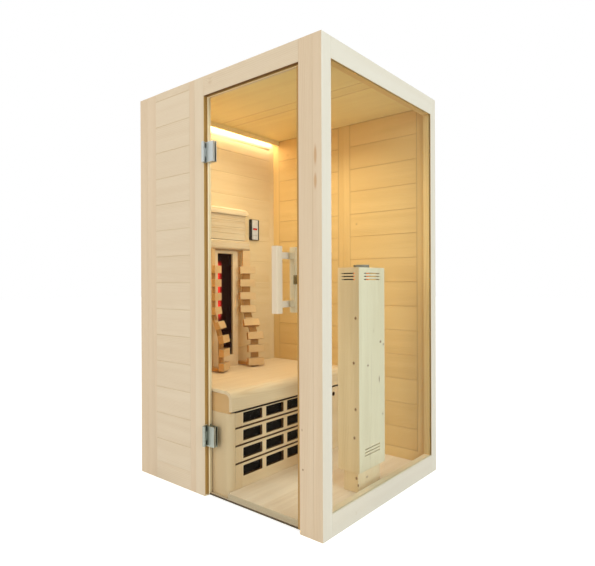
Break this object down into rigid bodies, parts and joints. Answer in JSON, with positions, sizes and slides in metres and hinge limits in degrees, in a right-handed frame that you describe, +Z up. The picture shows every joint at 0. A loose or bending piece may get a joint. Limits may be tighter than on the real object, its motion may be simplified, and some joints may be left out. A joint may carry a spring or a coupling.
{
  "type": "infrared sauna cabin",
  "caption": "One-person timber infrared sauna cabin with a hinged glass door, glass side wall, heated bench, shaped backrest and a heater tower.",
  "frame": {"origin": "on the ground under the middle of the cabin and its outer door handle", "axes": "+Z up, -Y out through the door wall, +X towards the glass side wall"},
  "size_m": [1.2, 1.057, 1.96],
  "materials": {
    "outer_timber": "pale sanded spruce, oiled",
    "inner_timber": "honey-toned sanded spruce",
    "rest_timber": "smooth shaped softwood",
    "tower_timber": "pale sanded boards with small knots",
    "clear_glass": "clear toughened glass, polished edges",
    "dark_glass": "dark heat-resistant glass",
    "steel": "satin stainless steel",
    "carbon_sheet": "matt black carbon heating sheet",
    "black_plastic": "satin black plastic",
    "grey_plastic": "light grey plastic",
    "display": "red lit display window",
    "seal_rubber": "dark brown rubber",
    "light": "warm white light diffuser"
  },
  "bodies": {
    "cabin": {"front_corner_stile": "outer_timber", "front_panel_frame": "outer_timber", "front_panel_planks": "outer_timber", "door_jamb_post": "outer_timber", "door_head_rail": "outer_timber", "front_corner_post": "outer_timber", "window_near_stile": "outer_timber", "window_far_stile": "outer_timber", "window_top_rail": "outer_timber", "window_bottom_rail": "outer_timber", "bench_wall_panel": "outer_timber", "floor_panel": "inner_timber", "far_left_frame": "inner_timber", "far_left_planks": "inner_timber", "far_right_frame": "inner_timber", "far_right_planks": "inner_timber", "lining_frame": "inner_timber", "lining_planks": "inner_timber", "roof_panel": "inner_timber", "light_valance": "inner_timber", "seat_shell": "inner_timber", "seat_end_panel": "inner_timber", "bench_end_panel": "inner_timber", "bench_grille": "inner_timber", "bench_cleat": "inner_timber", "emitter_frame": "inner_timber", "headrest_lower_cap": "rest_timber", "headrest_body": "rest_timber", "headrest_top_roll": "rest_timber", "left_spine_rest": "rest_timber", "right_spine_rest": "rest_timber", "tower_plinth": "tower_timber", "tower_carcass": "tower_timber", "window_glass": "clear_glass", "emitter_glass": "dark_glass", "tower_emitter": "dark_glass", "upper_hinge_wall_leaf": "steel", "upper_hinge_pin": "steel", "lower_hinge_wall_leaf": "steel", "lower_hinge_pin": "steel", "aroma_dish": "steel", "emitter_reflector": "steel", "bench_heater": "carbon_sheet", "control_housing": "black_plastic", "catch_magnet": "black_plastic", "mains_inlet": "black_plastic", "control_fascia": "grey_plastic", "power_unit": "grey_plastic", "control_display": "display", "door_seal": "seal_rubber", "light_strip": "light"},
    "door": {"door_glass": "clear_glass", "upper_hinge_clamp": "steel", "lower_hinge_clamp": "steel", "handle_outer_bar": "outer_timber", "handle_inner_bar": "outer_timber", "catch_plate": "black_plastic"},
    "minus_button_body": {"minus_button": "black_plastic"},
    "power_button_body": {"power_button": "black_plastic"},
    "plus_button_body": {"plus_button": "black_plastic"}
  },
  "joints": [
    {"name": "door_swing", "type": "hinge", "parent": "cabin", "child": "door", "pos_m": [-0.082, -0.48, 0], "axis": [0, 0, -1], "range_deg": [0, 115]},
    {"name": "minus_button_press", "type": "slide", "parent": "cabin", "child": "minus_button_body", "axis": [-1, 0, 0], "range_m": [0, 0.0012], "stiffness_N_per_m": 600},
    {"name": "power_button_press", "type": "slide", "parent": "cabin", "child": "power_button_body", "axis": [-1, 0, 0], "range_m": [0, 0.0012], "stiffness_N_per_m": 600},
    {"name": "plus_button_press", "type": "slide", "parent": "cabin", "child": "plus_button_body", "axis": [-1, 0, 0], "range_m": [0, 0.0012], "stiffness_N_per_m": 600}
  ]
}
